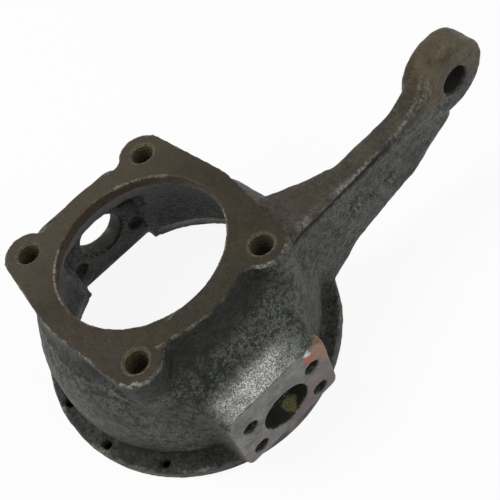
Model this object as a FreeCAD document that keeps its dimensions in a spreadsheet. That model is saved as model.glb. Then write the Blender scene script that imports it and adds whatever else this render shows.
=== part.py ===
# Steering knuckle of the closed ball-housing kind: a domed cast housing with a round seal flange,
# a tilted four-lobed spindle flange, two kingpin pads and one steering arm with a tapered eye.
# Millimetres. The seal flange lies on z = 0, z goes up to the spindle flange, y runs along the
# kingpin axis and x points down the steering arm. Origin: middle of the seal flange face.
import FreeCAD, Part
import math
import os
import Sketcher

V = FreeCAD.Vector

# Sizes: one named value each, plain numbers in millimetres or degrees
SIZES = {
    "flange_radius": 74.5,          # round seal flange
    "flange_thick": 7.0,
    "screw_inset": 5.0,             # seal retainer screws, in from the flange edge
    "screw_radius": 2.6,
    "screw_near": 13.0,             # angle of the inner pair of each four from the x axis
    "screw_far": 39.0,              # angle of the outer pair
    "screw_blind": 5.0,             # screw hole depth on the arm side
    "foot_radius": 64.0,            # where the housing wall leaves the flange
    "foot_rise": 7.0,
    "dome_radius": 66.6,            # outside of the ball housing
    "cavity_radius": 60.0,          # inside of the ball housing
    "cavity_top": 46.0,             # flat top of the cavity over the kingpin axis
    "mouth_radius": 62.8,           # opening on the seal side
    "mouth_depth": 5.0,
    "throat_height": 12.0,
    "kingpin_height": 25.6,         # kingpin axis above the seal face
    "kingpin_reach": 74.8,          # from the middle to each pad face
    "kingpin_bore": 12.5,           # radius
    "pad_half": 28.0,               # half width of a kingpin pad
    "pad_top": 53.6,                # top of the near pad above the seal face
    "far_pad_top": 48.6,
    "pad_corner": 9.0,
    "pad_root": 38.0,               # how far each pad runs into the housing
    "pad_draft": 6.0,               # degrees
    "pad_hole": 3.9,                # radius
    "pad_hole_across": 36.8,        # spacing of the pad holes along x
    "pad_hole_up": 22.2,            # spacing of the pad holes along z
    "pocket_half": 22.6,            # pocket inside each pad
    "pad_wall": 10.6,               # iron left between the pocket and the pad face
    "pocket_top": 46.0,
    "relief_half": 25.6,            # wider inner part of the pocket
    "relief_step": 5.9,             # how much shorter the wider part is
    "spindle_tilt": 6.4,            # spindle axis against the upright, degrees
    "spindle_reach": 50.4,          # kingpin axis to the spindle flange face
    "plate_radius": 51.7,
    "plate_thick": 7.8,
    "opening_radius": 40.0,
    "opening_depth": 20.0,
    "crown_height": 54.0,           # dome before it is faced off, over the kingpin axis
    "lobe_radius": 11.8,
    "post_reach": 50.0,             # thick iron under the lobes, down into the dome
    "post_draft": 4.0,              # degrees, narrowing downwards
    "lobe_across": 70.4,            # spacing of the spindle holes along x
    "lobe_along": 87.8,             # spacing of the spindle holes along the tilted y
    "stud_radius": 5.0,             # spindle hole
    "stud_depth": 12.0,
    "stud_mouth": 1.5,              # chamfer at the hole mouth
    "arm_face": 40.5,               # arm edge nearest to the near pad, distance from y = 0
    "arm_back": 28.0,
    "web_face": 37.5,
    "arm_top": 70.6,
    "arm_root": 42.0,
    "rib_deep": 7.5,
    "eye_along": 152.6,
    "eye_height": 72.6,
    "eye_radius": 19.4,
    "eye_back": 23.9,
    "eye_big": 7.2,                 # tapered bore, radius at the pad side
    "eye_small": 6.2,
    "eye_draft": 3.0,               # degrees
    "web_foot": 65.0,               # lower edge of the arm: end on the flange, knee and waist
    "knee_along": 84.0,
    "knee_height": 19.8,
    "waist_along": 124.0,
    "waist_height": 29.8,
    "web_drop": 27.0,               # lower edge below the eye's middle
    "rise_start": 32.0,             # rib rising to the eye, measured back from it
    "rise_middle": 18.0,
    "rise_end": 6.0,
    "rise_low": 9.0,
    "rise_high": 14.0,
    "gusset_thick": 10.0,
    "gusset_tip": 84.0,             # corner plate between arm and housing, seen from above
    "gusset_tip_across": 26.8,
    "gusset_knee": 75.0,
    "gusset_knee_across": 24.3,
    "gusset_heel": 57.0,
    "gusset_heel_across": 15.5,
    "gusset_end_across": 9.0,
    "rib_round": 2.5,               # cast fillet under the rib
    "lobe_round": 6.0,              # hollow between plate and lobe
    "overrun": 1.0,                 # how far a cut runs past the face that it opens
}

doc = FreeCAD.newDocument("steering_knuckle_source")
sheet = doc.addObject("Spreadsheet::Sheet", "sizes")
for row, (name, value) in enumerate(SIZES.items(), start=1):
    sheet.set("A%d" % row, name)
    sheet.set("B%d" % row, str(value))
    sheet.setAlias("B%d" % row, name)
doc.recompute()

body = doc.addObject("PartDesign::Body", "steering_knuckle")
body.Label = "steering_knuckle"
planes = {o.Role: o for o in body.Origin.OriginFeatures}


# Formulas are words with spaces between them, worked out from left to right
def number(text):
    total, sign = 0.0, "+"
    for word in text.split():
        if word in "+-*/":
            sign = word
            continue
        bare = word.lstrip("-")
        value = SIZES[bare] if bare in SIZES else float(bare)
        value = -value if word.startswith("-") else value
        if sign == "+":
            total += value
        elif sign == "-":
            total -= value
        elif sign == "*":
            total *= value
        else:
            total /= value
    return total


def formula(text):
    done = ""
    for word in text.split():
        bare = word.lstrip("-")
        if word in "*/":
            done = "(" + done + ")"
        elif word not in "+-":
            word = ("-" if word.startswith("-") else "") + ("sizes." + bare if bare in SIZES else bare)
        done = (done + " " + word).strip()
    return done


def sized(text):
    return any(word.lstrip("-") in SIZES for word in text.split())


# Sketch helpers
def sketch(name, plane, away="0"):
    s = body.newObject("Sketcher::SketchObject", name)
    s.AttachmentSupport = [(planes[plane], "")]
    s.MapMode = "FlatFace"
    if away != "0":
        s.setExpression("AttachmentOffset.Base.z", formula(away))
    return s


def tilted_sketch(name, lift="0"):
    s = sketch(name, "XY_Plane")
    s.AttachmentOffset = FreeCAD.Placement(V(), FreeCAD.Rotation(V(1, 0, 0), -SIZES["spindle_tilt"]))
    reach = "(sizes.spindle_reach + %s)" % lift
    s.setExpression("AttachmentOffset.Base.y", reach + " * sin(sizes.spindle_tilt)")
    s.setExpression("AttachmentOffset.Base.z", "sizes.kingpin_height + " + reach + " * cos(sizes.spindle_tilt)")
    s.setExpression("AttachmentOffset.Rotation.Angle", "-sizes.spindle_tilt")
    return s


def pin(s, kind, g, p, text):
    if text is None:
        return
    if text == "0":
        s.addConstraint(Sketcher.Constraint("PointOnObject", g, p, -2 if kind == "DistanceX" else -1))
        return
    c = s.addConstraint(Sketcher.Constraint(kind, -1, 1, g, p, number(text)))
    if sized(text):
        s.setExpression("Constraints[%d]" % c, formula(text))


def outline(s, points):
    first, n = s.GeometryCount, len(points)
    spots = [V(number(x), number(y), 0) for x, y in points]
    for i in range(n):
        s.addGeometry(Part.LineSegment(spots[i], spots[(i + 1) % n]))
    for i in range(n):
        s.addConstraint(Sketcher.Constraint("Coincident", first + i, 2, first + (i + 1) % n, 1))
    for i, (x, y) in enumerate(points):
        pin(s, "DistanceX", first + i, 1, x)
        pin(s, "DistanceY", first + i, 1, y)


def circle(s, x, y, r):
    g = s.addGeometry(Part.Circle(V(number(x), number(y), 0), V(0, 0, 1), number(r)))
    pin(s, "DistanceX", g, 3, x)
    pin(s, "DistanceY", g, 3, y)
    c = s.addConstraint(Sketcher.Constraint("Radius", g, number(r)))
    s.setExpression("Constraints[%d]" % c, formula(r))
    return g


def spoke(s, turn):
    # one screw hole on the screw circle at a given angle from the x axis
    a = math.radians(number(turn))
    far = number("flange_radius - screw_inset")
    at = V(far * math.cos(a), far * math.sin(a), 0)
    g = s.addGeometry(Part.Circle(at, V(0, 0, 1), SIZES["screw_radius"]))
    for kind, value, wave in (("DistanceX", at.x, "cos"), ("DistanceY", at.y, "sin")):
        c = s.addConstraint(Sketcher.Constraint(kind, -1, 1, g, 3, value))
        s.setExpression("Constraints[%d]" % c, "(sizes.flange_radius - sizes.screw_inset) * %s(%s)" % (wave, formula(turn)))
    c = s.addConstraint(Sketcher.Constraint("Radius", g, SIZES["screw_radius"]))
    s.setExpression("Constraints[%d]" % c, "sizes.screw_radius")


def chain(s, points, arcs):
    # points (x, y, guess) where an arc end leaves one of x, y open; arcs {segment: (radius, height)}
    n = len(points)
    spots = [V(number(x) if x is not None else g, number(y) if y is not None else g, 0) for x, y, g in points]
    for i in range(n):
        a, b = spots[i], spots[(i + 1) % n]
        if i in arcs:
            r, h = arcs[i]
            mid = V(0, number(h), 0)
            turn = [math.atan2(p.y - mid.y, p.x - mid.x) for p in (a, b)]
            round_part = Part.Circle(mid, V(0, 0, 1), number(r))
            s.addGeometry(Part.ArcOfCircle(round_part, min(turn), max(turn)))
        else:
            s.addGeometry(Part.LineSegment(a, b))
    ends = []
    for i in range(n):
        flip = i in arcs and spots[i].y > spots[(i + 1) % n].y
        ends.append((2, 1) if flip else (1, 2))
    for i in range(n):
        j = (i + 1) % n
        s.addConstraint(Sketcher.Constraint("Coincident", i, ends[i][1], j, ends[j][0]))
    for i, (x, y, g) in enumerate(points):
        pin(s, "DistanceX", i, ends[i][0], x)
        pin(s, "DistanceY", i, ends[i][0], y)
    for i, (r, h) in arcs.items():
        pin(s, "DistanceX", i, 3, "0")
        pin(s, "DistanceY", i, 3, h)
        c = s.addConstraint(Sketcher.Constraint("Radius", i, number(r)))
        s.setExpression("Constraints[%d]" % c, formula(r))


# Feature helpers
def turned(kind, name, profile):
    f = body.newObject("PartDesign::" + kind, name)
    f.Profile = profile
    f.ReferenceAxis = (profile, ["V_Axis"])
    f.Angle = 360
    doc.recompute()
    report(f)
    return f


def pushed(kind, name, profile, length, middle=False, back=False, through=False, draft=None):
    f = body.newObject("PartDesign::" + kind, name)
    f.Profile = profile
    if through:
        f.Type = "ThroughAll"
    else:
        f.Length = number(length)
        f.setExpression("Length", formula(length))
    f.Midplane = middle
    f.Reversed = back
    if draft:
        f.TaperAngle = number(draft)
        f.setExpression("TaperAngle", formula(draft))
    doc.recompute()
    report(f)
    return f


def local(e):
    # middle of an edge seen from the kingpin centre, turned into the spindle flange's own directions
    lean = math.radians(SIZES["spindle_tilt"])
    p = e.CenterOfMass - V(0, 0, SIZES["kingpin_height"])
    return V(p.x, p.y * math.cos(lean) - p.z * math.sin(lean), p.y * math.sin(lean) + p.z * math.cos(lean))


def upright(e):
    way = e.tangentAt(e.FirstParameter)
    return abs(way.z) > 0.99


def rounded(name, radius, chosen):
    tip = body.Tip
    names = ["Edge%d" % (i + 1) for i, e in enumerate(tip.Shape.Edges) if chosen(e)]
    f = body.newObject("PartDesign::Fillet", name)
    f.Base = (tip, names)
    f.Radius = SIZES[radius]
    f.setExpression("Radius", "sizes." + radius)
    doc.recompute()
    print(len(names), end=" edges ")
    report(f)
    return f


def report(f):
    print("%-22s %9.0f mm3 solids %d" % (f.Name, f.Shape.Volume, len(f.Shape.Solids)), f.State, f.Shape.isValid())


# Housing turned about the upright axis: seal flange, wall and dome, faced off along the flange
s = sketch("housing_profile", "XZ_Plane")
crown = math.sqrt(SIZES["dome_radius"] ** 2 - SIZES["crown_height"] ** 2)
chain(s, [("0", "0", 0), ("flange_radius", "0", 0), ("flange_radius", "flange_thick", 0),
          ("foot_radius", "flange_thick", 0), ("dome_radius", "flange_thick + foot_rise", 0),
          (None, "kingpin_height", SIZES["dome_radius"]), (None, "kingpin_height + crown_height", crown),
          ("0", "kingpin_height + crown_height", 0)],
      {5: ("dome_radius", "kingpin_height")})
turned("Revolution", "housing", s)

# Kingpin pads, drawn on their outer faces and widening inwards like the casting's draft
for side, top in (("near", "pad_top"), ("far", "far_pad_top")):
    s = sketch(side + "_pad_profile", "XZ_Plane", "kingpin_reach" if side == "near" else "-kingpin_reach")
    outline(s, [("-pad_half", "flange_thick"), ("pad_half", "flange_thick"), ("pad_half", top), ("-pad_half", top)])
    f = pushed("Pad", side + "_pad", s, "pad_root", back=side == "near", draft="pad_draft")
rounded("pad_corners", "pad_corner", lambda e: abs(abs(e.CenterOfMass.x) - SIZES["pad_half"]) < 6
        and e.CenterOfMass.z > 44 and abs(e.tangentAt(e.FirstParameter).y) > 0.9)

# Spindle flange on its tilted plane: a round plate drawn out to four lobes, thick posts under them
s = tilted_sketch("plate_profile")
R, x, y, r, w = (number(t) for t in ("plate_radius", "lobe_across / 2", "lobe_along / 2", "lobe_radius", "lobe_round"))
far, turn = math.hypot(x, y), math.atan2(y, x)
flank = turn - math.acos((R - r) / far)
waist = turn + math.acos(((R + w) ** 2 + far ** 2 - (r + w) ** 2) / (2 * (R + w) * far))
hollow = V((R + w) * math.cos(waist), (R + w) * math.sin(waist), 0)
lean = math.atan2(hollow.y - y, hollow.x - x)
quarters = ((1, 1), (-1, 1), (-1, -1), (1, -1))


def arc(mid, radius, start, end, sx, sy):
    # the same arc in each quarter of the plate, always drawn anticlockwise
    ends = [math.atan2(sy * math.sin(t), sx * math.cos(t)) for t in (start, end)]
    if sx * sy < 0:
        ends.reverse()
    if ends[1] < ends[0]:
        ends[1] += 2 * math.pi
    return s.addGeometry(Part.ArcOfCircle(Part.Circle(V(sx * mid.x, sy * mid.y, 0), V(0, 0, 1), radius), *ends))


lines, lobes, hollows = [], [], []
for sx, sy in quarters:
    a = V(sx * R * math.cos(flank), sy * R * math.sin(flank), 0)
    b = V(sx * (x + r * math.cos(flank)), sy * (y + r * math.sin(flank)), 0)
    lines.append(s.addGeometry(Part.LineSegment(a, b)))
    lobes.append(arc(V(x, y, 0), r, flank, lean, sx, sy))
    hollows.append(arc(hollow, w, waist + math.pi, lean + math.pi, sx, sy))
origin = V()
sides = [s.addGeometry(Part.ArcOfCircle(Part.Circle(origin, V(0, 0, 1), R), m - h, m + h))
         for m, h in ((0, flank), (math.pi / 2, math.pi / 2 - waist), (math.pi, flank), (-math.pi / 2, math.pi / 2 - waist))]
for q, (sx, sy) in enumerate(quarters):
    first, last = (1, 2) if sx * sy > 0 else (2, 1)
    s.addConstraint(Sketcher.Constraint("Tangent", lines[q], 2, lobes[q], first))
    s.addConstraint(Sketcher.Constraint("Tangent", lobes[q], last, hollows[q], last))
    s.addConstraint(Sketcher.Constraint("Tangent", lines[q], 1, sides[0 if sx > 0 else 2], last if sx > 0 else last))
    s.addConstraint(Sketcher.Constraint("Tangent", hollows[q], first, sides[1 if sy > 0 else 3], first))
    pin(s, "DistanceX", lobes[q], 3, ("" if sx > 0 else "-") + "lobe_across / 2")
    pin(s, "DistanceY", lobes[q], 3, ("" if sy > 0 else "-") + "lobe_along / 2")
for group, size in ((lobes, "lobe_radius"), (hollows, "lobe_round"), (sides, "plate_radius")):
    for g in group:
        c = s.addConstraint(Sketcher.Constraint("Radius", g, SIZES[size]))
        s.setExpression("Constraints[%d]" % c, "sizes." + size)
for g in sides:
    s.addConstraint(Sketcher.Constraint("Coincident", g, 3, -1, 1))
pushed("Pad", "spindle_plate", s, "plate_thick", back=True)
s = tilted_sketch("post_profile")
s.addGeometry(Part.ArcOfCircle(Part.Circle(V(x, y, 0), V(0, 0, 1), r), 0, math.pi))
s.addGeometry(Part.LineSegment(V(x - r, y, 0), V(x - r, -y, 0)))
s.addGeometry(Part.ArcOfCircle(Part.Circle(V(x, -y, 0), V(0, 0, 1), r), math.pi, 2 * math.pi))
s.addGeometry(Part.LineSegment(V(x + r, -y, 0), V(x + r, y, 0)))
for a, b, c, d in ((0, 2, 1, 1), (1, 2, 2, 1), (2, 2, 3, 1), (3, 2, 0, 1)):
    s.addConstraint(Sketcher.Constraint("Tangent", a, b, c, d))
c = s.addConstraint(Sketcher.Constraint("Radius", 0, r))
s.setExpression("Constraints[%d]" % c, "sizes.lobe_radius")
for g, sign in ((0, ""), (2, "-")):
    pin(s, "DistanceX", g, 3, "lobe_across / 2")
    pin(s, "DistanceY", g, 3, sign + "lobe_along / 2")
posts = pushed("Pad", "posts", s, "post_reach", back=True, draft="-post_draft")
f = body.newObject("PartDesign::Mirrored", "posts_other_side")
f.Originals = [posts]
f.MirrorPlane = (planes["YZ_Plane"], [""])
body.Tip = f
doc.recompute()
report(f)
s = tilted_sketch("facing_profile")
circle(s, "0", "0", "plate_radius * 1.5")
pushed("Pocket", "spindle_face", s, "crown_height - spindle_reach + lobe_radius", back=True)

# Steering arm: web, top rib, root gusset and eye boss
s = sketch("web_profile", "XZ_Plane", "arm_back")
outline(s, [("arm_root", "flange_thick"), ("web_foot", "flange_thick"), ("knee_along", "knee_height"),
            ("waist_along", "waist_height"), ("eye_along", "eye_height - web_drop"), ("eye_along", "arm_top"),
            ("arm_root", "arm_top")])
pushed("Pad", "arm_web", s, "web_face - arm_back")
s = sketch("rib_profile", "XZ_Plane", "arm_back")
outline(s, [("arm_root", "arm_top - rib_deep"), ("eye_along - rise_end", "arm_top - rib_deep"),
            ("eye_along - rise_end", "arm_top + rise_high"), ("eye_along - rise_middle", "arm_top + rise_low"),
            ("eye_along - rise_start", "arm_top"), ("arm_root", "arm_top")])
pushed("Pad", "arm_rib", s, "arm_face - arm_back")
s = sketch("gusset_profile", "XY_Plane", "arm_top")
outline(s, [("arm_root", "-arm_face"), ("gusset_tip", "-arm_face"), ("gusset_tip", "-gusset_tip_across"),
            ("gusset_knee", "-gusset_knee_across"), ("gusset_heel", "-gusset_heel_across"),
            ("arm_root", "-gusset_end_across")])
pushed("Pad", "gusset", s, "gusset_thick", back=True)
rounded("rib_root", "rib_round", lambda e: abs(e.CenterOfMass.y + SIZES["web_face"]) < 0.05
        and abs(e.CenterOfMass.z - number("arm_top - rib_deep")) < 0.05)
s = sketch("eye_profile", "XZ_Plane", "arm_face")
circle(s, "eye_along", "eye_height", "eye_radius")
pushed("Pad", "eye_boss", s, "arm_face - eye_back", back=True, draft="-eye_draft")

# Inside: ball cavity, seal mouth, kingpin pockets and the spindle opening
s = sketch("cavity_profile", "XZ_Plane")
throat = math.sqrt(SIZES["cavity_radius"] ** 2 - (SIZES["kingpin_height"] - SIZES["throat_height"]) ** 2)
top = math.sqrt(SIZES["cavity_radius"] ** 2 - SIZES["cavity_top"] ** 2)
chain(s, [("0", "-overrun", 0), ("mouth_radius", "-overrun", 0), ("mouth_radius", "mouth_depth", 0),
          (None, "throat_height", throat), (None, "kingpin_height + cavity_top", top),
          ("0", "kingpin_height + cavity_top", 0)],
      {3: ("cavity_radius", "kingpin_height")})
turned("Groove", "cavity", s)
for name, reach in (("pocket", "kingpin_reach - pad_wall * 2"), ("relief", "kingpin_reach - pad_wall - relief_step * 2")):
    s = sketch(name + "_profile", "XZ_Plane")
    outline(s, [("-" + name + "_half", "-overrun"), (name + "_half", "-overrun"), (name + "_half", "pocket_top"),
                ("-" + name + "_half", "pocket_top")])
    pushed("Pocket", "kingpin_" + name, s, reach, middle=True)
s = tilted_sketch("opening_profile")
circle(s, "0", "0", "opening_radius")
pushed("Pocket", "spindle_opening", s, "opening_depth")

# Bores and holes
s = sketch("kingpin_bore_profile", "XZ_Plane")
circle(s, "0", "kingpin_height", "kingpin_bore")
pushed("Pocket", "kingpin_bores", s, "0", middle=True, through=True)
s = sketch("pad_hole_profile", "XZ_Plane")
for side in ("-", ""):
    circle(s, side + "pad_hole_across / 2", "pad_hole_up / 2 + kingpin_height", "pad_hole")
    circle(s, side + "pad_hole_across / 2", "pad_hole_up / -2 + kingpin_height", "pad_hole")
pushed("Pocket", "pad_holes", s, "kingpin_reach + overrun * 2", middle=True)
s = tilted_sketch("stud_hole_profile")
for side in ("-", ""):
    for along in ("-", ""):
        circle(s, side + "lobe_across / 2", along + "lobe_along / 2", "stud_radius")
pushed("Pocket", "stud_holes", s, "stud_depth")
tip = body.Tip
rims = ["Edge%d" % (i + 1) for i, e in enumerate(tip.Shape.Edges) if isinstance(e.Curve, Part.Circle)
        and abs(e.Curve.Radius - SIZES["stud_radius"]) < 0.01 and abs(local(e).z - SIZES["spindle_reach"]) < 0.01]
f = body.newObject("PartDesign::Chamfer", "stud_mouths")
f.Base = (tip, rims)
f.Size = SIZES["stud_mouth"]
f.setExpression("Size", "sizes.stud_mouth")
doc.recompute()
report(f)

s = sketch("seal_screw_profile", "XY_Plane")
for turn in ("180 - screw_near", "180 + screw_near", "180 - screw_far", "180 + screw_far"):
    spoke(s, turn)
pushed("Pocket", "seal_screws", s, "flange_thick + overrun", back=True)
s = sketch("seal_screw_arm_profile", "XY_Plane")
for turn in ("-screw_near", "screw_near", "-screw_far", "screw_far"):
    spoke(s, turn)
pushed("Pocket", "seal_screws_arm_side", s, "screw_blind", back=True)
s = sketch("eye_bore_profile", "XY_Plane", "eye_height")
outline(s, [("eye_along", "-arm_face"), ("eye_along + eye_big", "-arm_face"),
            ("eye_along + eye_small", "-eye_back"), ("eye_along", "-eye_back")])
f = body.newObject("PartDesign::Groove", "eye_bore")
f.Profile = s
f.ReferenceAxis = (s, ["Edge4"])
f.Angle = 360
doc.recompute()
report(f)

# Every object has to be sound before the part is written
for o in doc.Objects:
    if "Invalid" in o.State or "Error" in o.State:
        raise RuntimeError("%s is %s" % (o.Name, o.State))
    if hasattr(o, "Shape") and o.isDerivedFrom("PartDesign::Feature") and (o.Shape.isNull() or not o.Shape.isValid()):
        raise RuntimeError("%s has no valid shape" % o.Name)
whole = body.Shape
if len(whole.Solids) != 1 or not whole.isValid():
    raise RuntimeError("the casting isn't one valid solid")
os.makedirs("parts", exist_ok=True)
whole.exportStep("parts/steering_knuckle.step")
print("steering_knuckle %.0f mm3" % whole.Volume)
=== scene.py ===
# %% [markdown]
# # A cast steering knuckle
# This lesson dresses one iron casting: the housing that turns a driven front wheel. The solid
# model brings every size. Here the surfaces become rough cast skin, oily machined faces and worn
# edges, and the casting gets the soft corners that sand moulding leaves.

# %% Load the solid model as a fixed frame
import bmesh
import bpy
import math
import numpy as np
from mathutils import Matrix, Vector
from mathutils import noise as mnoise


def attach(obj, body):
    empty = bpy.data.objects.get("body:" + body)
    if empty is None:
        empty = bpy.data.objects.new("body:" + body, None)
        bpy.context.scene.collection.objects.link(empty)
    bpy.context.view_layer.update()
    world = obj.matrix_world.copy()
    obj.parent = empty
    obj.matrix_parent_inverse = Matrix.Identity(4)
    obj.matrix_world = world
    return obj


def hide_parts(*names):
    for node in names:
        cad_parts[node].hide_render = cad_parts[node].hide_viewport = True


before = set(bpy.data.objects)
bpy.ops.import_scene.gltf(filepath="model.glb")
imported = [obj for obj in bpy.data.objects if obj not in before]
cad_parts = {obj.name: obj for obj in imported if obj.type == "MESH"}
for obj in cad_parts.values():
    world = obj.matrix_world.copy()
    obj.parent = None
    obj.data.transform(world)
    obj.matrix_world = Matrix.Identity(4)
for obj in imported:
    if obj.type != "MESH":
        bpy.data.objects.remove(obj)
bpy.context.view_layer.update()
from types import SimpleNamespace

# %% [markdown]
# ## Camera
# The viewpoint was worked out from the bolt patterns and circles of the photograph, so the camera
# is placed by its position and its own three directions instead of by eye. A lens of 68 mm on a
# 36 mm sensor gives the same mild perspective.

# %% Camera at the photograph's viewpoint
SENSOR = 36.0                            # width of the sensor, mm
FOCAL = 946.006 / 500                    # focal length as a share of the picture's width
CAMERA_PLACE = (-0.05217, -0.23696, 0.40780)


def make_camera():
    right = Vector((0.71320798, -0.66334812, -0.22650308))
    down = Vector((-0.66886172, -0.54739247, -0.50297662))
    ahead = Vector((0.20966252, 0.51022619, -0.83409284))
    lens = bpy.data.cameras.new("photo_camera")
    lens.sensor_width = SENSOR
    lens.lens = FOCAL * SENSOR
    lens.clip_start = 0.01
    camera = bpy.data.objects.new("photo_camera", lens)
    turn = Matrix((right, -down, -ahead)).transposed()
    camera.matrix_world = Matrix.Translation(CAMERA_PLACE) @ turn.to_4x4()
    bpy.context.scene.collection.objects.link(camera)
    bpy.context.scene.camera = camera
    return camera


camera = make_camera()
print("camera at", [round(v, 4) for v in camera.location], "lens %.1f mm" % camera.data.lens)

# %% [markdown]
# ## Short ways to add nodes
# Every colour and pattern below is a chain of small nodes. Adding one by hand takes three or four
# lines, so these helpers add a node, fill its sockets and hand back its result in one. A value
# may be a number, a colour or the output of another node.

# %% Helpers that add nodes
def feed(tree, socket, value):
    if isinstance(value, bpy.types.NodeSocket):
        tree.links.new(value, socket)
    else:
        socket.default_value = value


def put(tree, kind, settings=(), **inputs):
    node = tree.nodes.new(kind)
    for key, value in dict(settings).items():
        setattr(node, key, value)
    for key, value in inputs.items():
        feed(tree, node.inputs[key.replace("_", " ")], value)
    return node


def calc(tree, operation, *values):
    node = tree.nodes.new("ShaderNodeMath")
    node.operation = operation
    for socket, value in zip(node.inputs, values):
        feed(tree, socket, value)
    return node.outputs[0]


def product(tree, *values):
    result = values[0]
    for value in values[1:]:
        result = calc(tree, "MULTIPLY", result, value)
    return result


def largest(tree, *values):
    result = values[0]
    for value in values[1:]:
        result = calc(tree, "MAXIMUM", result, value)
    return result


def distance(tree, a, b):
    squares = [calc(tree, "MULTIPLY", value, value) for value in (a, b)]
    return calc(tree, "SQRT", calc(tree, "ADD", *squares))


def blend_colour(tree, share, first, second):
    node = tree.nodes.new("ShaderNodeMix")
    node.data_type = "RGBA"
    for index, value in ((0, share), (6, first), (7, second)):
        feed(tree, node.inputs[index], value)
    return node.outputs[2]


def mix_shaders(tree, share, first, second):
    node = tree.nodes.new("ShaderNodeMixShader")
    for socket, value in zip(node.inputs, (share, first, second)):
        tree.links.new(value, socket)
    return node.outputs[0]


print("node helpers are ready")

# %% [markdown]
# ## Studio
# The photograph is a plain white studio picture with hardly any shadow. The floor is pale matt
# paint, and where the camera or a reflection looks straight at it, the Light Path node lets most
# of it glow as plain white, so the part's shadow still shows a little. The casting is open, and
# the ground hidden under the flange and behind the near pad lies in its shade, so that ground
# gets painted shade: dark, and without the glow.

# %% White floor
WHITE_SHARE = 0.91                       # how much of the floor glows where it is looked at
GROUND = -0.0002                         # just under the seal face, so that the two never touch


def seen_directly(tree):
    # one where the camera, a reflection or glass looks straight at the surface
    path = tree.nodes.new("ShaderNodeLightPath").outputs
    rays = ("Is Camera Ray", "Is Glossy Ray", "Is Transmission Ray")
    return largest(tree, *[path[ray] for ray in rays])


def painted_shade_under_part(tree):
    # painted shade: one on the ground hidden under the seal flange and behind the near pad, where the
    # casting's shade falls
    place = tree.nodes.new("ShaderNodeNewGeometry").outputs["Position"]
    x, y, z = put(tree, "ShaderNodeSeparateXYZ", Vector=place).outputs
    away = distance(tree, x, y)
    ring = product(tree, calc(tree, "GREATER_THAN", away, 0.0685), calc(tree, "LESS_THAN", y, 0.030))
    left = product(tree, calc(tree, "GREATER_THAN", away, 0.0645), calc(tree, "LESS_THAN", x, -0.040))
    near = calc(tree, "LESS_THAN", y, -0.035)
    return product(tree, largest(tree, ring, left, near), calc(tree, "LESS_THAN", away, 0.0742))


def make_floor_paint():
    paint = bpy.data.materials.new("white_floor")
    paint.use_nodes = True
    tree = paint.node_tree
    tree.nodes.clear()
    # the ground under the part gets painted shade: a dark colour and no glow
    under = painted_shade_under_part(tree)
    tone = blend_colour(tree, under, (0.82, 0.82, 0.81, 1), (0.030, 0.030, 0.020, 1))
    matt = put(tree, "ShaderNodeBsdfDiffuse", Color=tone).outputs[0]
    glow = put(tree, "ShaderNodeEmission", Strength=1.0).outputs[0]
    white = calc(tree, "MULTIPLY_ADD", under, -WHITE_SHARE, WHITE_SHARE)
    seen = mix_shaders(tree, product(tree, seen_directly(tree), white), matt, glow)
    put(tree, "ShaderNodeOutputMaterial", Surface=seen)
    return paint


def make_floor():
    bm = bmesh.new()
    bmesh.ops.create_grid(bm, x_segments=2, y_segments=2, size=3.0)
    mesh = bpy.data.meshes.new("studio_floor")
    bm.to_mesh(mesh)
    bm.free()
    floor = bpy.data.objects.new("studio_floor", mesh)
    floor.location = (0.0, 0.0, GROUND)
    bpy.context.scene.collection.objects.link(floor)
    mesh.materials.append(make_floor_paint())
    return floor


floor = make_floor()
print("floor is", [round(v, 2) for v in floor.dimensions[:2]], "m wide and deep")

# %% [markdown]
# ## Soft light
# A pale world lights the part from all sides, and two broad round lamps, one high at the back and
# one low in front, give it form without hard shadows. The strengths are low enough that a colour
# comes out about as it is written.

# %% World and lamps
AIM = (0.03, 0.0, 0.03)                  # the middle of the casting
SOFTBOX = 0.6                            # width of each lamp, m


def make_world():
    world = bpy.data.worlds.new("soft_studio")
    bpy.context.scene.world = world
    world.use_nodes = True
    tree = world.node_tree
    tree.nodes.clear()
    seen = put(tree, "ShaderNodeBackground", Strength=1.0).outputs[0]
    lit = put(tree, "ShaderNodeBackground", Color=(0.97, 0.98, 1.0, 1), Strength=0.47).outputs[0]
    put(tree, "ShaderNodeOutputWorld", Surface=mix_shaders(tree, seen_directly(tree), lit, seen))
    return world


def make_lamp(name, place, watts):
    data = bpy.data.lights.new(name, "AREA")
    data.shape = "DISK"
    data.size = SOFTBOX
    data.energy = watts
    lamp = bpy.data.objects.new(name, data)
    lamp.location = place
    lamp.rotation_euler = (Vector(AIM) - Vector(place)).to_track_quat("-Z", "Y").to_euler()
    bpy.context.scene.collection.objects.link(lamp)
    return lamp


lamps = [make_lamp("overhead_softbox", (-0.35, 0.45, 1.1), 8.0),
         make_lamp("side_softbox", (0.55, -0.85, 0.75), 3.2)]
print("world", make_world().name, "and lamps", [lamp.name for lamp in lamps])

# %% [markdown]
# ## The casting's skin
# A casting has no sharp inner corners: molten iron rounds every one. Bevelling a model with this
# many holes breaks easily, so a copy of the solid is cut into small even cells with the Remesh
# modifier. Then inner corners are filled step by step, outer corners are rounded a little, and
# machined faces and bores keep their crisp edges.

# %% Sizes of the casting, in metres
TILT = math.radians(6.4)                 # lean of the spindle flange
KINGPIN = 0.0256                         # height of the kingpin axis
REACH = 0.0504                           # kingpin axis to the spindle flange's face
REGISTER = 0.040                         # radius of the spindle flange's bore
STUD = (0.0352, 0.0439)                  # stud holes from the flange's middle, across and along
PAD = 0.0748                             # middle of the casting to each kingpin pad's face
CAP = (0.0184, 0.0111)                   # cap screws from the kingpin axis, across and up
EYE = (0.1526, 0.0726)                   # middle of the arm's eye, out along the arm and up
ARM_END = 0.075                          # nothing of the spindle flange lies past this
CELL = 0.00078
print("cells of %.2f mm" % (CELL * 1000))


# %% Which faces are machined
def ramp(value, low, high):
    return np.clip((value - low) / (high - low), 0.0, 1.0)


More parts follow.
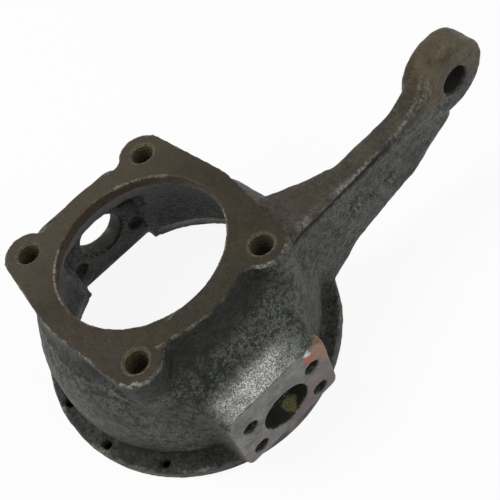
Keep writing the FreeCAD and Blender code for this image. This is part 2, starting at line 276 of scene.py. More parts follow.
def flange_place(co):
    # each point in the leaning spindle flange's own directions: across, along and up its axis
    rise = co[:, 2] - KINGPIN
    return (co[:, 0], co[:, 1] * math.cos(TILT) - rise * math.sin(TILT),
            co[:, 1] * math.sin(TILT) + rise * math.cos(TILT))


def machined(co):
    # one on turned and drilled faces, nothing on the rough skin
    u, v, up = flange_place(co)
    face = (1 - ramp(np.abs(up - REACH), 0.0003, 0.0010)) * (co[:, 0] < ARM_END)
    bore = (1 - ramp(np.abs(np.hypot(u, v) - REGISTER), 0.0004, 0.0012)) * ramp(up, 0.040, 0.042)
    studs = np.zeros(len(co))
    for sx in (-1, 1):
        for sy in (-1, 1):
            away = np.hypot(u - sx * STUD[0], v - sy * STUD[1])
            studs = np.maximum(studs, 1 - ramp(away, 0.0068, 0.0076))
    pads = 1 - ramp(PAD - np.abs(co[:, 1]), 0.0004, 0.0012)
    side = np.abs(np.abs(co[:, 0]) - CAP[0])
    caps = 1 - ramp(np.hypot(side, np.abs(co[:, 2] - KINGPIN) - CAP[1]), 0.0042, 0.0052)
    kingpin = 1 - ramp(np.hypot(co[:, 0], co[:, 2] - KINGPIN), 0.0128, 0.0140)
    through = np.maximum(caps, kingpin) * ramp(np.abs(co[:, 1]), 0.060, 0.062)
    foot = 1 - ramp(co[:, 2], 0.0004, 0.0010)
    eye = 1 - ramp(np.hypot(co[:, 0] - EYE[0], co[:, 2] - EYE[1]), 0.0076, 0.0088)
    studs *= ramp(up, 0.034, 0.036)
    return np.maximum.reduce([face, bore, studs, pads, through, foot, eye])


def flat_faces(co):
    # for points on a flat machined face, the direction that face looks in, and nothing elsewhere
    near = 0.0006
    up = flange_place(co)[2]
    out = np.zeros_like(co)
    out[(np.abs(up - REACH) < near) & (co[:, 0] < ARM_END)] = (0.0, math.sin(TILT), math.cos(TILT))
    out[np.abs(PAD - np.abs(co[:, 1])) < near] = (0.0, 1.0, 0.0)
    out[co[:, 2] < near] = (0.0, 0.0, 1.0)
    return out


# %% Copy the solid and cut it into even cells
def apply_all(piece):
    deps = bpy.context.evaluated_depsgraph_get()
    mesh = bpy.data.meshes.new_from_object(piece.evaluated_get(deps))
    piece.modifiers.clear()
    old = piece.data
    piece.data = mesh
    bpy.data.meshes.remove(old)


def copy_solid(node, name):
    bm = bmesh.new()
    bm.from_mesh(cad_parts[node].data)
    bmesh.ops.remove_doubles(bm, verts=bm.verts, dist=1e-6)
    mesh = bpy.data.meshes.new(name)
    bm.to_mesh(mesh)
    bm.free()
    piece = bpy.data.objects.new(name, mesh)
    bpy.context.scene.collection.objects.link(piece)
    return piece


casting = copy_solid("steering_knuckle", "casting")
cells = casting.modifiers.new("even_cells", "REMESH")
cells.mode = "VOXEL"
cells.voxel_size = CELL
apply_all(casting)
print("casting skin has", len(casting.data.vertices), "points after the remesh")


# %% Read and write a mesh as plain arrays
def read_points(mesh):
    co = np.empty(len(mesh.vertices) * 3)
    mesh.vertices.foreach_get("co", co)
    return co.reshape(-1, 3)


def read_normals(mesh):
    out = np.empty(len(mesh.vertices) * 3)
    mesh.vertex_normals.foreach_get("vector", out)
    return out.reshape(-1, 3)


def write_points(mesh, co):
    mesh.vertices.foreach_set("co", co.ravel())
    mesh.update()


def read_net(mesh):
    # the points, the two ends of each edge, and how many edges meet at each point
    ends = np.empty(len(mesh.edges) * 2, dtype=np.int64)
    mesh.edges.foreach_get("vertices", ends)
    co = read_points(mesh)
    return co, ends.reshape(-1, 2), np.bincount(ends, minlength=len(co)).astype(float)


def pull_to_neighbours(co, ends, count):
    # step from each point to the middle of its neighbours
    total = np.empty_like(co)
    for axis in range(3):
        total[:, axis] = (np.bincount(ends[:, 0], co[ends[:, 1], axis], len(co))
                          + np.bincount(ends[:, 1], co[ends[:, 0], axis], len(co)))
    return total / count[:, None] - co


before = read_points(casting.data)
print("machined share of the skin %.2f" % machined(before).mean())

# %% [markdown]
# ## Soft corners
# Pulling every point a little towards its neighbours rounds a mesh, as sanding does. Pulling only
# outwards, along the normal, fills inner corners and leaves the rest, which is what the fillets of
# a casting look like. Machined faces are held still, apart from a pass that pulls and pushes back
# by turns: it takes the stair steps of the cells out of their rims and shrinks nothing.

# %% Fill the inner corners and round the outer ones
def smooth_cut_edges(mesh, keep, turns):
    # points on a flat face only slide in it
    co, ends, count = read_net(mesh)
    held, flat = keep(co), flat_faces(co)
    share = np.where(np.abs(flat).sum(axis=1) > 0, 1.0, 0.6) * held
    for turn in range(2 * turns):
        step = pull_to_neighbours(co, ends, count)
        step -= np.einsum("ij,ij->i", step, flat)[:, None] * flat
        co += (0.50 if turn % 2 == 0 else -0.52) * share[:, None] * step
    write_points(mesh, co)


def soften(mesh, keep, fill_turns, round_turns):
    co, ends, count = read_net(mesh)
    free = 1 - keep(co)
    for turn in range(round_turns):
        co += 0.5 * free[:, None] * pull_to_neighbours(co, ends, count)
    for turn in range(fill_turns):
        if turn % 10 == 0:
            write_points(mesh, co)
            out = read_normals(mesh)
        step = pull_to_neighbours(co, ends, count)
        along = np.einsum("ij,ij->i", step, out)
        slide = step - along[:, None] * out
        co += free[:, None] * (0.6 * np.maximum(along, 0.0)[:, None] * out + 0.15 * slide)
    write_points(mesh, co)


def round_pad_feet(mesh, radius):
    # the kingpin pads' lower corners, which stand out past the seal flange, are rounded over
    half_width, bottom = 0.028, 0.007
    co = read_points(mesh)
    wide = np.abs(co[:, 0])
    right, rise = wide - (half_width - radius), (bottom + radius) - co[:, 2]
    away = np.hypot(right, rise)
    inside = (right > 0) & (rise > 0) & (away > radius) & (co[:, 2] > 0.0064) & (wide < 0.0292)
    share = inside * ramp(np.abs(co[:, 1]), 0.064, 0.069)
    pull = share * (radius / np.maximum(away, 1e-9) - 1)
    co[:, 0] += np.sign(co[:, 0]) * right * pull
    co[:, 2] -= rise * pull
    write_points(mesh, co)


def round_arm(mesh, turns):
    # the arm and its eye have rounder edges than the housing
    co, ends, count = read_net(mesh)
    from_hole = np.hypot(co[:, 0] - EYE[0], co[:, 2] - EYE[1])
    share = 0.35 * ramp(co[:, 0], 0.070, 0.090) + 0.65 * ramp(co[:, 0], 0.128, 0.138)
    share = share * ramp(from_hole, 0.0085, 0.0120)
    for turn in range(turns):
        co += 0.5 * share[:, None] * pull_to_neighbours(co, ends, count)
    write_points(mesh, co)


smooth_cut_edges(casting.data, machined, 12)
round_pad_feet(casting.data, 0.006)
soften(casting.data, machined, 80, 8)
round_arm(casting.data, 16)
moved = np.linalg.norm(read_points(casting.data) - before, axis=1)
print("corners softened, largest move %.1f mm" % (moved.max() * 1000))

# %% [markdown]
# ## Marks of the mould
# Sand gives the skin a gently uneven surface, with a faint raised line along the shoulder where
# the mould's halves met and a groove just under the arm's upper edge. Three pairs of plain raised
# bars stand on the arm's side. All of it is a small move of each point along its normal, so it
# shows in the outline too, which a bump map can't do. Nothing moves on machined faces.

# %% Uneven skin, mould line, groove and bars
# height, size and start of each wave of the skin
SKIN_WAVES = ((0.00036, 0.014, 3.1), (0.00022, 0.0048, 7.7), (0.00012, 0.0021, 1.3))
LINE_HEIGHT, BAR_HEIGHT, GROOVE_DEPTH = 0.00055, 0.0012, 0.0011
BARS = ((0.0869, 0.0455), (0.0981, 0.0425), (0.1095, 0.0425))      # along the arm, height
GROOVE = np.array([(0.0460, 0.0660), (0.0564, 0.0666), (0.0752, 0.0676),
                   (0.0945, 0.0687), (0.1074, 0.0693), (0.1160, 0.0700)])    # along the arm, height


def uneven(co, size, start):
    shift = Vector((start, start * 0.7, -start))
    return np.array([mnoise.noise(Vector(c) / size + shift) for c in co])


def mould_line(co):
    # along the shoulder on the side away from the arm, 60 mm above the floor
    turn = np.degrees(np.arctan2(co[:, 1], -co[:, 0]))
    reach = np.hypot(co[:, 0], co[:, 1])
    height = 0.0600 - 0.0050 * ramp(-turn, 25, 42) - 0.0040 * ramp(turn, 15, 27)
    line = np.exp(-((co[:, 2] - height) / 0.0010) ** 2)
    return line * ramp(reach, 0.053, 0.055) * (1 - ramp(np.abs(turn), 34, 44))


def bars(co):
    # each bar is round-ended and leans a little
    out = np.zeros(len(co))
    on = 1 - ramp(np.abs(co[:, 1] + 0.0375), 0.002, 0.004)
    for along, up in BARS:
        for shift in (-0.0015, 0.0015):
            over = np.maximum(np.abs(co[:, 2] - up) - 0.0022, 0.0)
            away = np.hypot(co[:, 0] - along - shift + 0.35 * (co[:, 2] - up), over)
            out = np.maximum(out, (1 - ramp(away, 0.0005, 0.0015)) * on)
    return out


def groove(co):
    away = np.abs(co[:, 2] - np.interp(co[:, 0], GROOVE[:, 0], GROOVE[:, 1]))
    side = ramp(co[:, 0], 0.044, 0.052) * (1 - ramp(co[:, 0], 0.106, 0.116))
    on = 1 - ramp(np.abs(co[:, 1] + 0.0402), 0.0020, 0.0032)
    return side * on * np.exp(-(away / 0.0010) ** 2)


def mark_skin(mesh):
    co, out = read_points(mesh), read_normals(mesh)
    rough = 1 - ramp(machined(co), 0.0, 0.4)
    waves = sum(height * uneven(co, size, start) for height, size, start in SKIN_WAVES)
    move = rough * (waves + LINE_HEIGHT * mould_line(co) + BAR_HEIGHT * bars(co)
                    - GROOVE_DEPTH * groove(co))
    write_points(mesh, co + move[:, None] * out)
    return move


move = mark_skin(casting.data)
print("skin moves from %.2f to %.2f mm" % (move.min() * 1000, move.max() * 1000))

# %% [markdown]
# ## Fewer faces
# The Decimate modifier takes faces away where the skin is flat and keeps them where it bends. It
# leaves long slivers on the flat faces, and the worn edges would smear across those, so long
# edges are split again afterwards.

# %% Bring the skin to a fair number of faces
FACES = 130000
LONGEST_EDGE = 0.0022


def thin(piece, faces):
    count = sum(len(p.vertices) - 2 for p in piece.data.polygons)
    if count > faces:
        piece.modifiers.new("fewer_faces", "DECIMATE").ratio = faces / count
        apply_all(piece)


def split_long_edges(mesh, longest):
    bm = bmesh.new()
    bm.from_mesh(mesh)
    for turn in range(6):
        long_edges = [e for e in bm.edges if e.calc_length() > longest]
        if not long_edges:
            break
        bmesh.ops.subdivide_edges(bm, edges=long_edges, cuts=1)
        bmesh.ops.triangulate(bm, faces=[f for f in bm.faces if len(f.verts) > 3])
    count = len(bm.faces)
    bm.to_mesh(mesh)
    bm.free()
    return count


thin(casting, FACES)
print("casting skin has", split_long_edges(casting.data, LONGEST_EDGE), "triangles")
casting.data.shade_smooth()

# %% [markdown]
# ## Finishes
# Everything on this part is the same iron, but its surfaces look different: the rough skin left
# by the sand mould, the faces cut on a machine and darkened by oil, and the edges where handling
# has rubbed the dark layer thin. Each effect is its own node group, with named inputs and outputs,
# so that it can be tried and changed alone. All of them meet in one material.

# %% Helpers for node groups
def new_group(name, inputs, outputs):
    group = bpy.data.node_groups.new(name, "ShaderNodeTree")
    for label, kind, value in inputs:
        socket = group.interface.new_socket(label, in_out="INPUT", socket_type="NodeSocket" + kind)
        socket.default_value = value
    for label, kind in outputs:
        group.interface.new_socket(label, in_out="OUTPUT", socket_type="NodeSocket" + kind)
    return group, group.nodes.new("NodeGroupInput"), group.nodes.new("NodeGroupOutput")


def noise_at(tree, place, scale, detail, roughness=0.5):
    return put(tree, "ShaderNodeTexNoise", Vector=place, Scale=scale, Detail=detail,
               Roughness=roughness).outputs["Fac"]


def step(tree, value, low, high):
    # soft step from nothing at low to one at high, either way round
    node = tree.nodes.new("ShaderNodeMapRange")
    node.interpolation_type = "SMOOTHSTEP"
    feed(tree, node.inputs["Value"], value)
    node.inputs["From Min"].default_value = min(low, high)
    node.inputs["From Max"].default_value = max(low, high)
    if low > high:
        node.inputs["To Min"].default_value, node.inputs["To Max"].default_value = 1.0, 0.0
    return node.outputs["Result"]


def within(tree, *edges):
    # one where every soft step is passed
    return product(tree, *[step(tree, *edge) for edge in edges])


def scaled(tree, value, start, factor):
    # start plus factor times the value
    return calc(tree, "ADD", start, calc(tree, "MULTIPLY", value, factor))


print("group helpers are ready")

# %% [markdown]
# ## Cast skin
# Old cast iron is nearly black, with paler patches, a sandy grain and pinkish stains, and small
# painted glints stand in for highlights on the grain. Noise textures of four sizes are multiplied,
# so that patches, mottling and grain all show, and the grain also drives the bump.

# %% Cast skin: colour patches, sand grain and painted glints
def make_cast_skin():
    g, start, end = new_group(
        "cast_skin",
        [("Dark", "Color", (0.02, 0.02, 0.02, 1)), ("Light", "Color", (0.08, 0.08, 0.075, 1)),
         ("Tint", "Color", (0.07, 0.05, 0.045, 1)),
         ("Grain", "Float", 900.0), ("Patches", "Float", 45.0)],
        [("Color", "Color"), ("Roughness", "Float"), ("Height", "Float")])
    given = start.outputs
    place = put(g, "ShaderNodeTexCoord").outputs["Object"]
    grain = noise_at(g, place, given["Grain"], 4.0, 0.6)
    blots = noise_at(g, place, given["Patches"], 7.0, 0.62)
    stain = noise_at(g, place, calc(g, "MULTIPLY", given["Patches"], 2.3), 4.0, 0.55)
    mottle = noise_at(g, place, 330.0, 3.0, 0.55)
    pits = put(g, "ShaderNodeTexVoronoi", {"feature": "SMOOTH_F1"}, Vector=place, Smoothness=0.6,
               Scale=calc(g, "MULTIPLY", given["Grain"], 0.5)).outputs["Distance"]
    lift = step(g, blots, 0.34, 0.68)
    fine = step(g, grain, 0.38, 0.64)
    tone = product(g, scaled(g, lift, 0.30, 0.72), scaled(g, fine, 0.13, 1.40),
                   scaled(g, step(g, mottle, 0.38, 0.62), 0.22, 1.60))
    base = blend_colour(g, tone, given["Dark"], given["Light"])
    base = blend_colour(g, product(g, step(g, stain, 0.54, 0.74), 0.6), base, given["Tint"])
    crumbs = noise_at(g, place, 1500.0, 2.0)
    # painted glints: bright specks that stand in for highlights on the grain
    speck_glints = product(g, within(g, (crumbs, 0.60, 0.70), (blots, 0.36, 0.58)), 0.85)
    g.links.new(blend_colour(g, speck_glints, base, (0.30, 0.31, 0.29, 1)), end.inputs["Color"])
    dry = calc(g, "ADD", scaled(g, lift, 0.40, 0.14), product(g, fine, 0.12))
    g.links.new(dry, end.inputs["Roughness"])
    g.links.new(calc(g, "ADD", grain, product(g, pits, 0.6)), end.inputs["Height"])
    return g


cast_skin = make_cast_skin()
print("made", cast_skin.name, "with", len(cast_skin.nodes), "nodes")

# %% [markdown]
# ## Wear and hollow shade
# Handling and tools touch the outer edges first, and the hollows are darkened for dirt and as
# painted shade. Cycles measures how sharply a surface bends as Pointiness, which finds both
# without any painted masks. Two noises break the worn edge into short bright crumbs.

# %% Worn edges, and hollows darkened for dirt and as painted shade, from how sharply the surface bends
def make_wear_and_hollow_shade():
    g, start, end = new_group("wear_and_hollow_shade", [("Breakup", "Float", 60.0)],
                              [("Edge", "Float"), ("HollowDirtAndShade", "Float"), ("Crumbs", "Float")])
    bend = put(g, "ShaderNodeNewGeometry").outputs["Pointiness"]
    place = put(g, "ShaderNodeTexCoord").outputs["Object"]
    runs = noise_at(g, place, start.outputs["Breakup"], 3.0)
    crumbs = noise_at(g, place, 700.0, 3.0)
    broken = within(g, (runs, 0.40, 0.58), (crumbs, 0.35, 0.6))
    g.links.new(broken, end.inputs["Crumbs"])
    g.links.new(product(g, step(g, bend, 0.518, 0.546), broken), end.inputs["Edge"])
    # hollows: darkened for dirt, and painted shade where shade falls in them
    g.links.new(step(g, bend, 0.490, 0.440), end.inputs["HollowDirtAndShade"])
    return g


wear_and_hollow_shade = make_wear_and_hollow_shade()
print("made", wear_and_hollow_shade.name, "with", len(wear_and_hollow_shade.nodes), "nodes")

# %% [markdown]
# ## Zones
# The finishes change from place to place: oil on the spindle flange, bright metal on the pads,
# painted shade at the foot. Painting masks by hand would need image files, so each zone is worked out from
# where a point lies, with the same sizes as the casting. Every zone is a soft mask from 0 to 1.

# %% How a point lies to the flange, the kingpins, the studs and the eye
def measure(g):
    place = put(g, "ShaderNodeTexCoord").outputs["Object"]
    x, y, z = put(g, "ShaderNodeSeparateXYZ", Vector=place).outputs
    rise = calc(g, "SUBTRACT", z, KINGPIN)
    up = calc(g, "ADD", product(g, y, math.sin(TILT)), product(g, rise, math.cos(TILT)))
    along = calc(g, "SUBTRACT", product(g, y, math.cos(TILT)), product(g, rise, math.sin(TILT)))
    stud = distance(g, calc(g, "SUBTRACT", calc(g, "ABSOLUTE", x), STUD[0]),
                    calc(g, "SUBTRACT", calc(g, "ABSOLUTE", along), STUD[1]))
    eye = distance(g, calc(g, "SUBTRACT", x, EYE[0]), calc(g, "SUBTRACT", z, EYE[1]))
    return SimpleNamespace(x=x, y=y, z=z, up=up, side=calc(g, "ABSOLUTE", y), reach=distance(g, x, y),
                           spindle=distance(g, x, along), kingpin=distance(g, x, rise), stud=stud, eye=eye)


def apart(g, value, line):
    # how far a value is from a line, whichever side it lies on
    return calc(g, "ABSOLUTE", calc(g, "SUBTRACT", value, line))


# %% Machined zones
THREAD_PITCH = 0.00125


def machined_zones(g, at):
    kingpin = within(g, (at.kingpin, 0.0134, 0.0128), (at.side, 0.060, 0.062))
    deep = step(g, at.up, 0.036, 0.038)
    turns = calc(g, "SINE", product(g, at.up, 2 * math.pi / THREAD_PITCH))
    return {
        "Flange": within(g, (at.up, REACH - 0.0005, REACH - 0.0001), (at.x, 0.078, 0.074)),
        "Pad": step(g, at.side, 0.0742, 0.0746),
        "Bore": largest(g, kingpin, step(g, at.eye, 0.0082, 0.0076)),
        "Stud": product(g, step(g, at.stud, 0.0066, 0.0060), deep),
        "Ring": within(g, (at.stud, 0.0058, 0.0062), (at.stud, 0.0072, 0.0067),
                       (at.up, 0.0485, 0.0492)),
        "Thread": product(g, turns, step(g, at.stud, 0.0057, 0.0052), deep),
        "Lip": within(g, (at.spindle, 0.0412, 0.0404), (at.up, 0.0405, 0.0425)),
    }


# %% Zones on the housing: painted shade under the flange and at the foot, painted sheen and highlight lines
def shoulder(g, at):
    # how far a point is above the mould line, and one on the side away from the arm
    turn = calc(g, "ARCTAN2", at.y, product(g, at.x, -1.0))
    drop = calc(g, "ADD", product(g, step(g, turn, -0.44, -0.73), 0.0050),
                product(g, step(g, turn, 0.26, 0.47), 0.0040))
    over = calc(g, "ADD", calc(g, "SUBTRACT", at.z, 0.0600), drop)
    return over, within(g, (calc(g, "ABSOLUTE", turn), 0.76, 0.60), (at.reach, 0.050, 0.054))


def housing_zones(g, at):
    over, left = shoulder(g, at)
    band = product(g, within(g, (over, 0.0002, 0.0014), (at.up, 0.0480, 0.0450)), left, 0.45)
    below = within(g, (at.up, 0.0505, 0.0480), (at.up, 0.0300, 0.0380), (at.x, 0.034, 0.020),
                   (at.reach, 0.040, 0.046), (at.y, 0.0, -0.020))
    # painted shade at the foot: the seal flange's top, the undercut above it and the slot by the arm's
    # root
    top = within(g, (at.z, 0.0090, 0.0075), (at.reach, 0.062, 0.065))
    under = product(g, within(g, (at.z, 0.0132, 0.0118), (at.reach, 0.055, 0.060),
                              (at.z, 0.0068, 0.0072)), 0.85)
    slot_shade = within(g, (at.z, 0.0300, 0.0120), (at.x, 0.050, 0.056), (at.y, -0.030, -0.034))
    pad_side = within(g, (at.side, 0.0735, 0.0742), (at.z, 0.0062, 0.0072))
    return {
        "Shade": largest(g, below, band),
        "FootShade": product(g, largest(g, top, under, slot_shade), calc(g, "SUBTRACT", 1.0, pad_side)),
        # painted sheen: bright speckled highlight on the near pad's top
        "Sheen": within(g, (at.z, 0.0490, 0.0530), (at.y, -0.058, -0.068), (at.x, 0.024, 0.002),
                         (at.x, -0.029, -0.022)),
    }


# %% Zones on the arm: oily top, rusty eye, reddish root and painted shadow in the groove
def arm_zones(g, at):
    brow = largest(g, step(g, at.z, 0.0640, 0.0740), step(g, at.y, -0.0400, -0.0375))
    groove_off = apart(g, at.z, calc(g, "MULTIPLY_ADD", at.x, 0.0545, 0.06353))
    return {
        "Oil": within(g, (at.x, 0.050, 0.066), (at.z, 0.0690, 0.0702)),
        "Eye": product(g, within(g, (at.eye, 0.0212, 0.0196), (at.x, 0.125, 0.135)), brow),
        "Root": within(g, (at.x, 0.046, 0.052), (at.x, 0.074, 0.062), (at.z, 0.0600, 0.0680)),
        # painted shadow along the groove under the rib's edge
        "Groove": within(g, (groove_off, 0.0018, 0.0004), (at.x, 0.044, 0.052), (at.x, 0.118, 0.104),
                         (at.y, -0.0370, -0.0385)),
    }


# %% Painted highlight lines: round the foot, along the mould line, the arm's front edge and the eye's rim
def line_zones(g, at):
    over, left = shoulder(g, at)
    # painted highlights: thin light lines along the mould line, round the foot, on the arm's front edge
    # and on the eye's rim
    crease = product(g, step(g, calc(g, "ABSOLUTE", over), 0.0016, 0.0004), left, 0.75)
    ring = product(g, within(g, (at.z, 0.0130, 0.0142), (at.z, 0.0165, 0.0148),
                             (at.reach, 0.062, 0.064), (at.y, -0.058, -0.050)), 0.55)
    front = largest(g, calc(g, "MULTIPLY_ADD", at.x, 0.048, -0.04389),
                    calc(g, "MULTIPLY_ADD", at.x, 0.31, -0.07748))
    spread = scaled(g, step(g, at.x, 0.100, 0.055), 1.0, 2.6)
    rib = within(g, (calc(g, "DIVIDE", apart(g, at.y, front), spread), 0.0015, 0.0004),
                 (at.z, 0.0685, 0.0696), (at.x, 0.042, 0.052), (at.x, 0.142, 0.136))
    bow = scaled(g, calc(g, "MAXIMUM", calc(g, "SUBTRACT", at.z, 0.0800), 0.0), -0.0395, 0.30)
    eye_rim = within(g, (apart(g, at.y, bow), 0.0015, 0.0004), (at.eye, 0.0155, 0.0168),
                     (at.z, 0.0740, 0.0780), (at.x, 0.160, 0.152), (at.x, 0.120, 0.126))
    return {"HighlightLines": largest(g, ring, crease, rib, eye_rim)}


# %% The group of all zones
ZONES = ("Flange", "Pad", "Bore", "Stud", "Ring", "Thread", "Lip", "Shade", "FootShade", "HighlightLines",
         "Groove", "Root", "Oil", "Eye", "Sheen")


def make_zones():
    g, start, end = new_group("casting_zones", [], [(name, "Float") for name in ZONES])
    at = measure(g)
    for zones in (machined_zones, housing_zones, arm_zones, line_zones):
        for name, mask in zones(g, at).items():
            g.links.new(mask, end.inputs[name])
    return g


casting_zones = make_zones()
print("made", casting_zones.name, "with", len(ZONES), "zones")

# %% [markdown]
# ## One iron material
# The groups meet here. First each finish is mixed as its own colour. Then the finishes are laid
# over one another like coats of paint: skin, oil, machined faces, painted highlight lines, worn
# edges, and dirt with painted shade. The Principled shader stays in the material itself.

# %% Patterns that several finishes share
def make_patterns(t):
    place = put(t, "ShaderNodeTexCoord").outputs["Object"]
    x, y, z = put(t, "ShaderNodeSeparateXYZ", Vector=place).outputs
    return SimpleNamespace(place=place, x=x, y=y, z=z,
                           smear=noise_at(t, place, 95.0, 8.0, 0.68),
                           dirt=noise_at(t, place, 38.0, 4.0, 0.6),
                           grit=step(t, noise_at(t, place, 1100.0, 3.0, 0.6), 0.36, 0.66))


def lay(t, under, over, *shares):
    # lays one colour over another, where the product of the shares says
    return blend_colour(t, product(t, *shares), under, over)


def away_from(t, place, point):
    node = put(t, "ShaderNodeVectorMath", {"operation": "DISTANCE"})
    t.links.new(place, node.inputs[0])
    node.inputs[1].default_value = point
    return node.outputs["Value"]


# %% [markdown]
# The turned spindle face has been oily for years. Thin oil bakes on to a dark brown film, with
# paler dust, a reddish side and small bright flecks. The pads are the opposite: caps were bolted
# there, so the metal is still grey and only stained at the edge.

# %% Colours of the machined faces
def oily_plate(t, p):
    blotch = noise_at(t, p.place, 210.0, 5.0, 0.65)
    flecks = noise_at(t, p.place, 1300.0, 1.0)
    oil = blend_colour(t, step(t, p.smear, 0.34, 0.66),
                       (0.011, 0.008, 0.003, 1), (0.034, 0.024, 0.008, 1))
    oil = lay(t, oil, (0.021, 0.020, 0.013, 1), step(t, p.dirt, 0.48, 0.60), 0.7)
    oil = lay(t, oil, (0.034, 0.020, 0.013, 1), step(t, p.x, 0.0, -0.030),
              step(t, p.dirt, 0.40, 0.60), 0.6)
    oil = lay(t, oil, (0.011, 0.009, 0.005, 1), step(t, blotch, 0.46, 0.60), 0.55)
    oil = lay(t, oil, (0.044, 0.034, 0.015, 1), p.grit, 0.42)
    oil = lay(t, oil, (0.17, 0.14, 0.09, 1), step(t, flecks, 0.66, 0.74),
              step(t, p.dirt, 0.40, 0.60), 0.6)
    return lay(t, oil, (0.072, 0.056, 0.033, 1), step(t, p.y, 0.010, 0.050), 0.40)


def grey_pad(t, p):
    pad = blend_colour(t, step(t, p.smear, 0.36, 0.62),
                       (0.095, 0.096, 0.088, 1), (0.230, 0.228, 0.210, 1))
    pad = lay(t, pad, (0.090, 0.085, 0.080, 1), p.grit, 0.35)
    pad = lay(t, pad, (0.150, 0.100, 0.115, 1), step(t, p.dirt, 0.44, 0.60),
              step(t, p.z, 0.044, 0.014), 0.7)
    return lay(t, pad, (0.125, 0.090, 0.080, 1), step(t, p.x, 0.017, 0.026), 0.55)


def dark_bore_and_light_patch(t, p):
    # with a painted patch of light, olive tan, low in the near one
    ragged = product(t, calc(t, "SUBTRACT", p.smear, 0.5), 0.012)
    away = calc(t, "ADD", away_from(t, p.place, (0.0030, -0.0695, 0.0135)), ragged)
    return lay(t, (0.016, 0.017, 0.012, 1), (0.22, 0.19, 0.085, 1), step(t, away, 0.0045, 0.0030),
               scaled(t, p.grit, 0.35, 0.65))


def gritty(t, p, low, dark, light, grit):
    # iron with a brown film and paler grit in it
    return lay(t, blend_colour(t, step(t, p.smear, low, 0.66), dark, light), grit, p.grit, 0.5)


# %% [markdown]
# Now the coats. Each function takes the colour so far and hands back the colour with its own
# coats on top, so that their order can be read from top to bottom.

# %% Coats over the rough skin
def coat_skin(t, p, colour, zone):
    brown = gritty(t, p, 0.40, (0.026, 0.020, 0.011, 1), (0.068, 0.054, 0.031, 1),
                   (0.085, 0.073, 0.046, 1))
    rusty = gritty(t, p, 0.38, (0.046, 0.034, 0.018, 1), (0.112, 0.082, 0.044, 1),
                   (0.130, 0.110, 0.066, 1))
    glint = step(t, noise_at(t, p.place, 1700.0, 2.0), 0.44, 0.60)
    colour = lay(t, colour, brown, zone["Oil"], 0.75)
    colour = lay(t, colour, rusty, zone["Eye"], 0.80)
    colour = lay(t, colour, (0.058, 0.036, 0.028, 1), zone["Root"], 0.55)
    colour = lay(t, colour, (0.010, 0.010, 0.008, 1), zone["Shade"], 0.78)
    # painted sheen: bright speckled highlight on the near pad's top
    colour = lay(t, colour, (0.70, 0.71, 0.68, 1), zone["Sheen"], scaled(t, glint, 0.20, 0.80),
                 scaled(t, step(t, p.smear, 0.38, 0.60), 0.45, 0.55))
    # painted shade at the foot: the seal flange's top, the undercut above it and the slot by the arm's
    # root
    return lay(t, colour, (0.016, 0.015, 0.012, 1), zone["FootShade"], 0.55)


def coat_machined(t, p, colour, zone, edge):
    # the stud holes' brown thread walls, painted lighter as painted light against the shade deep in the
    # holes
    lifted_threads = blend_colour(t, p.grit, (0.060, 0.046, 0.026, 1), (0.150, 0.118, 0.070, 1))
    colour = lay(t, colour, oily_plate(t, p), zone["Flange"])
    colour = lay(t, colour, (0.048, 0.032, 0.018, 1), zone["Lip"])
    colour = lay(t, colour, dark_bore_and_light_patch(t, p), zone["Bore"])
    colour = lay(t, colour, lifted_threads, zone["Stud"])
    colour = lay(t, colour, (0.130, 0.110, 0.070, 1), zone["Ring"], edge["Crumbs"], 0.8)
    return lay(t, colour, grey_pad(t, p), zone["Pad"])


def coat_wear_highlights_and_shade(t, p, colour, zone, edge):
    # painted highlight lines, broken into crumbs
    colour = lay(t, colour, (0.23, 0.23, 0.205, 1), zone["HighlightLines"], edge["Crumbs"],
                 scaled(t, p.grit, 0.3, 0.7))
    colour = lay(t, colour, (0.30, 0.28, 0.22, 1), edge["Edge"], 0.75)
    # hollows darkened for dirt and as painted shade
    colour = lay(t, colour, (0.010, 0.010, 0.008, 1), edge["HollowDirtAndShade"], 0.60)
    # painted shadow along the groove under the rib's edge
    return lay(t, colour, (0.007, 0.007, 0.006, 1), zone["Groove"], 0.85)


# %% Dabs of inspection paint on the corner of the near pad
DABS = (  # place, size, colour
    ((0.0238, -0.0745, 0.0460), 0.0066, (0.30, 0.145, 0.065, 1)),
    ((0.0262, -0.0748, 0.0375), 0.0036, (0.26, 0.14, 0.08, 1)),
    ((0.0182, -0.0748, 0.0458), 0.0036, (0.40, 0.075, 0.045, 1)),
    ((0.0188, -0.0746, 0.0508), 0.0025, (0.80, 0.76, 0.66, 1)),
)


def coat_dabs(t, p, colour):
    ragged = noise_at(t, p.place, 260.0, 5.0, 0.6)
    wobble = product(t, calc(t, "SUBTRACT", ragged, 0.5), 0.0090)
    for point, size, paint in DABS:
        edge = calc(t, "ADD", away_from(t, p.place, point), wobble)
        colour = lay(t, colour, paint, step(t, edge, size, size * 0.75), scaled(t, p.grit, 0.45, 0.5))
    return colour


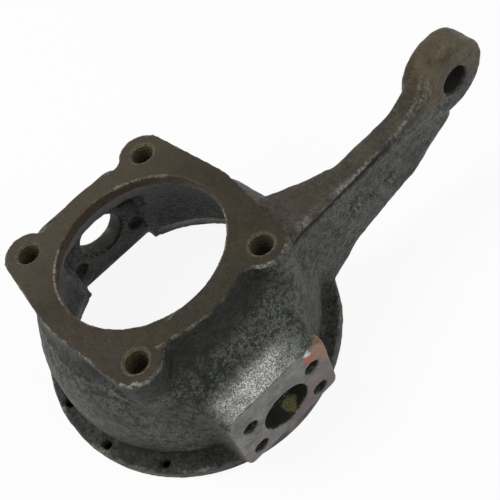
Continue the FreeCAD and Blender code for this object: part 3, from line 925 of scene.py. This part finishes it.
print("dabs of paint:", len(DABS))


# %% The material
def make_iron():
    iron = bpy.data.materials.new("oily_cast_iron")
    iron.use_nodes = True
    t = iron.node_tree
    t.nodes.clear()
    metal = t.nodes.new("ShaderNodeBsdfPrincipled")
    metal.inputs["IOR"].default_value = 1.5
    metal.inputs["Specular IOR Level"].default_value = 0.22
    skin = put(t, "ShaderNodeGroup", {"node_tree": cast_skin}, Dark=(0.010, 0.012, 0.010, 1),
               Light=(0.092, 0.099, 0.084, 1), Tint=(0.070, 0.048, 0.044, 1)).outputs
    edge = put(t, "ShaderNodeGroup", {"node_tree": wear_and_hollow_shade}).outputs
    zone = put(t, "ShaderNodeGroup", {"node_tree": casting_zones}).outputs
    p = make_patterns(t)
    colour = coat_skin(t, p, skin["Color"], zone)
    colour = coat_machined(t, p, colour, zone, edge)
    colour = coat_wear_highlights_and_shade(t, p, colour, zone, edge)
    t.links.new(coat_dabs(t, p, colour), metal.inputs["Base Color"])
    # cut faces are a little smoother than the skin
    cut = largest(t, zone["Flange"], zone["Bore"])
    rough = t.nodes.new("ShaderNodeMix")
    for index, value in ((0, cut), (2, skin["Roughness"]), (3, scaled(t, p.smear, 0.42, 0.25))):
        feed(t, rough.inputs[index], value)
    t.links.new(rough.outputs[0], metal.inputs["Roughness"])
    # and their grain is lower, while the stud holes get the turns of a thread
    quiet = calc(t, "SUBTRACT", 1.0, product(t, largest(t, cut, zone["Pad"]), 0.65))
    height = calc(t, "ADD", product(t, skin["Height"], quiet), product(t, zone["Thread"], 0.5))
    bump = put(t, "ShaderNodeBump", Strength=1.0, Distance=0.0011, Height=height)
    t.links.new(bump.outputs["Normal"], metal.inputs["Normal"])
    put(t, "ShaderNodeOutputMaterial", Surface=metal.outputs[0])
    return iron


iron = make_iron()
print("made", iron.name, "with", len(iron.node_tree.nodes), "nodes")

# %% Dress the casting
casting.data.materials.clear()
casting.data.materials.append(iron)
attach(casting, "root")
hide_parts("steering_knuckle")
print("casting wears", iron.name)

bpy.context.scene.view_settings.view_transform = "Standard"
